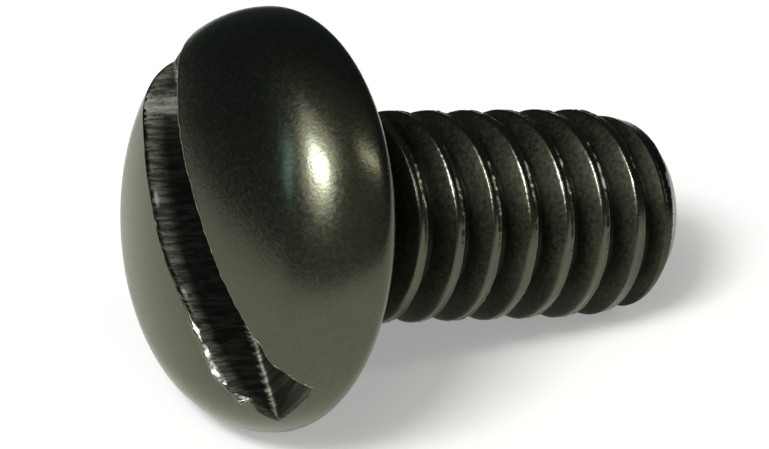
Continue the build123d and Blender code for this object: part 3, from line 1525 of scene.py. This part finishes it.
@dataclass
class MachineScrew:
    """The whole screw, one piece."""

    frame: dict
    finish: BlackOxideSteel = BlackOxideSteel()
    stitch_width: float = 0.25

    def mount(self, name: str) -> dict:
        """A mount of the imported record, by its name."""
        return next(m for m in self.frame["record"]["mounts"] if m["name"] == name)

    def build(self) -> bpy.types.Object:
        """Make the screw's skin, dress it and put it in place of its solid.

        Returns:
            The object.
        """
        low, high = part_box(NODE)
        mount = self.mount("thread")
        head = PanHead(diameter=(high.y - low.y) / MM)
        slot = SawSlot(head)
        thread = RolledThread(mount["dims"]["r_mm"], mount["dims"]["length_mm"])
        skin = Skin()
        skirt = skin.add(head.skirt(slot.columns(), slot.floor))
        for side in (1, -1):
            skin.add(slot.cheek(side))
            skin.add(slot.wall_patch(side))
        skin.add(slot.floor_patch())
        bearing = skin.add(thread.under_head(head.radius - head.rim - self.stitch_width))
        skin.add(thread.shank())
        skin.add(thread.point())
        skin.stitch(Patch(skirt.points[-1:, :-1]), Patch(bearing.points[-1:, :-1]))
        along = np.array(mount["axis"])
        own_z = -along / np.linalg.norm(along)
        own_y = np.array([0.0, 1.0, 0.0])
        own_x = np.cross(own_y, own_z)
        piece = skin.build(PIECE, np.stack([own_x, own_y, own_z], 1))
        slot_along = math.cos(slot.angle) * own_x + math.sin(slot.angle) * own_y
        piece.data.materials.append(self.finish.build(slot_along, own_z))
        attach(piece, BODY)
        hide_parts(NODE)
        return piece


def towards(heading: float, rise: float) -> tuple[float, float, float]:
    """The direction of a heading from +X and a rise over the floor, both in radians."""
    level_part = math.cos(rise)
    return (level_part * math.cos(heading), level_part * math.sin(heading), math.sin(rise))


@dataclass(frozen=True)
class SoftBox:
    """A rectangular lamp that faces the screw from far off.

    Heading, rise, width, height and roll are in degrees, as seen from the screw,
    and the distance is in metres. The level is that of the lamp's own face, where
    1 is white.
    """

    name: str
    heading: float
    rise: float
    width: float
    height: float
    level: float
    colour: str
    roll: float = 0.0
    distance: float = 0.8

    def build(self) -> bpy.types.Object:
        """Make the lamp, whose power is its face's level times pi times its area.

        Returns:
            The lamp.
        """
        direction = mathutils.Vector(towards(math.radians(self.heading), math.radians(self.rise)))
        data = bpy.data.lights.new(self.name, "AREA")
        data.shape = "RECTANGLE"
        data.size = 2 * self.distance * math.tan(math.radians(self.width) / 2)
        data.size_y = 2 * self.distance * math.tan(math.radians(self.height) / 2)
        data.energy = self.level * math.pi * data.size * data.size_y
        data.color = linear(self.colour)[:3]
        lamp = bpy.data.objects.new(self.name, data)
        spin = mathutils.Quaternion((0, 0, 1), math.radians(self.roll))
        lamp.rotation_euler = (direction.to_track_quat("Z", "Y") @ spin).to_euler()
        lamp.location = direction * self.distance
        bpy.context.scene.collection.objects.link(lamp)
        return lamp


@dataclass
class Studio:
    """A pale floor, soft boxes and a dim room, with lengths in metres."""

    floor_height: float
    floor_half: float = 3.0
    floor_colour: str = "e4e2de"
    floor_rough: float = 0.9
    floor_glow: float = 0.31
    glow_colour: str = "ffffff"
    sheet_reach: float = 0.25
    sheet_fade: float = 0.02
    sheet_centre: tuple[float, float, float] = (-0.127, -0.181, 0.0)
    dim_from: float = 0.025
    dim_to: float = 0.14
    dim_share: float = 0.45
    room: str = "3c4546"
    room_lit: str = "868a82"
    lit_heading: float = math.radians(-112)
    lit_rise: float = math.radians(30)
    boxes: tuple[SoftBox, ...] = (
        SoftBox("window", -151, 51, 20, 13, 32.0, "f6faff"),
        SoftBox("window_side", -153, 53, 42, 42, 1.6, "fffaf0"),
        SoftBox("window_sill", -152, 37, 17, 13, 1.4, "fffaf0"),
        SoftBox("sky_strip", 167, 27, 2.6, 20, 9.5, "a9ced6"),
        SoftBox("far_window", -45, 44, 4.5, 24, 7.2, "fffaf0", roll=30),
    )

    def floor(self) -> bpy.types.Object:
        """The floor, a plain square at the height of the screw's lowest point.

        Returns:
            The floor.
        """
        corners = np.array([[-1, -1], [1, -1], [1, 1], [-1, 1]]) * self.floor_half
        points = np.column_stack([corners, np.full(len(corners), self.floor_height)])
        mesh = bpy.data.meshes.new("floor")
        mesh.from_pydata(points.tolist(), [], [(0, 1, 2, 3)])
        mesh.materials.append(self.floor_material())
        floor = bpy.data.objects.new("floor", mesh)
        bpy.context.scene.collection.objects.link(floor)
        floor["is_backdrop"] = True
        return floor

    def floor_material(self) -> bpy.types.Material:
        """Matt pale paint, with a glow that only some rays see.

        A share of its white glows for the camera and for mirrored and clear rays
        alone, so it looks white without more light on the screw, and keeps its
        shadow. For mirrored rays alone, what lies past the pale sheet, or far
        from the screw, shows the dim room.

        Returns:
            The material.
        """
        material = bpy.data.materials.new("pale_floor")
        material.use_nodes = True
        material.node_tree.nodes.clear()
        tree = Tree(material.node_tree)
        seen, mirrored, clear = (
            tree.add("ShaderNodeLightPath", out=kind)
            for kind in ("Is Camera Ray", "Is Glossy Ray", "Is Transmission Ray")
        )
        glow = seen
        for rays in (mirrored, clear):
            glow = tree.add("ShaderNodeMath", LARGER, n0=glow, n1=rays)
        glow = tree.add("ShaderNodeMath", TIMES, n0=glow, n1=self.floor_glow)
        paint = tree.add(
            "ShaderNodeBsdfPrincipled",
            Base_Color=linear(self.floor_colour),
            Roughness=self.floor_rough,
            Specular_IOR_Level=0.0,
            Emission_Color=linear(self.glow_colour),
            Emission_Strength=glow,
        )
        unlit = self.unlit_share(tree)
        share = tree.add("ShaderNodeMath", TIMES, n0=unlit, n1=mirrored)
        dark = tree.add("ShaderNodeEmission", Color=linear(self.room), Strength=1.0)
        both = tree.add("ShaderNodeMixShader", n0=share, n1=paint, n2=dark)
        tree.add("ShaderNodeOutputMaterial", Surface=both)
        return material

    def unlit_share(self, tree: Tree) -> Socket:
        """How far the floor is out of the light: all past the round sheet, some far away.

        Args:
            tree: where the nodes go.

        Returns:
            The larger of the two shares.
        """
        place = tree.add("ShaderNodeTexCoord", out="Object")
        from_sheet, from_screw = (
            tree.add(
                "ShaderNodeVectorMath",
                {"operation": "DISTANCE"},
                out="Value",
                n0=place,
                n1=centre,
            )
            for centre in (self.sheet_centre, (0.0, 0.0, 0.0))
        )
        past = tree.add(
            "ShaderNodeMapRange",
            Value=from_sheet,
            From_Min=self.sheet_reach,
            From_Max=self.sheet_reach + self.sheet_fade,
        )
        far = tree.add(
            "ShaderNodeMapRange",
            Value=from_screw,
            From_Min=self.dim_from,
            From_Max=self.dim_to,
            To_Max=self.dim_share,
        )
        return tree.add("ShaderNodeMath", LARGER, n0=past, n1=far)

    def surround(self) -> None:
        """The room: dim grey, lighter towards the side that the windows light.

        The share of the lit grey is the cosine of the angle to that side.
        """
        world = bpy.data.worlds.new("surround")
        world.use_nodes = True
        world.node_tree.nodes.clear()
        tree = Tree(world.node_tree)
        cosine = tree.add(
            "ShaderNodeVectorMath",
            {"operation": "DOT_PRODUCT"},
            out="Value",
            n0=tree.add("ShaderNodeTexCoord", out="Generated"),
            n1=towards(self.lit_heading, self.lit_rise),
        )
        shade = tree.add(
            "ShaderNodeMix",
            COLOURS,
            out=2,
            n0=tree.add("ShaderNodeClamp", Value=cosine),
            n6=linear(self.room),
            n7=linear(self.room_lit),
        )
        back = tree.add("ShaderNodeBackground", Color=shade, Strength=1.0)
        tree.add("ShaderNodeOutputWorld", Surface=back)
        bpy.context.scene.world = world

    def build(self) -> None:
        """Set up the floor, the room and the lamps."""
        self.floor()
        self.surround()
        for box in self.boxes:
            box.build()


@dataclass
class PhotoCamera:
    """The camera, placed from the photograph's own perspective."""

    heading: float = math.radians(29.401)
    down: float = math.radians(31.492)
    distance: float = 150.03 * MM
    aim_right: float = 2.789 * MM
    aim_up: float = -0.162 * MM
    lens: float = 245.19
    nearest: float = 10 * MM

    def build(self) -> bpy.types.Object:
        """Make the camera: back from the aim point along its line of sight.

        Returns:
            The camera.
        """
        c, s = math.cos(self.heading), math.sin(self.heading)
        right = np.array([c, -s, 0])
        forward = np.array([s, c, 0]) * math.cos(self.down)
        forward[2] = -math.sin(self.down)
        up = np.cross(right, forward)
        aim = self.aim_right * right + self.aim_up * up
        data = bpy.data.cameras.new("camera")
        data.lens = self.lens
        data.clip_start = self.nearest
        camera = bpy.data.objects.new("camera", data)
        camera.location = aim - self.distance * forward
        camera.rotation_euler = (math.pi / 2 - self.down, 0, -self.heading)
        bpy.context.scene.collection.objects.link(camera)
        bpy.context.scene.camera = camera
        return camera


def main() -> None:
    """Build the screw, its floor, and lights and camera."""
    logging.basicConfig(level=logging.INFO, format="%(name)s: %(message)s")
    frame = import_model()
    solid_box = [list(corner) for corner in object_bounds()]
    bpy.context.scene.view_settings.view_transform = "Standard"
    MachineScrew(frame).build()
    Studio(floor_height=solid_box[0][2]).build()
    PhotoCamera().build()
    log.info("floor, lights and camera are in place")


if __name__ == "__main__":
    main()
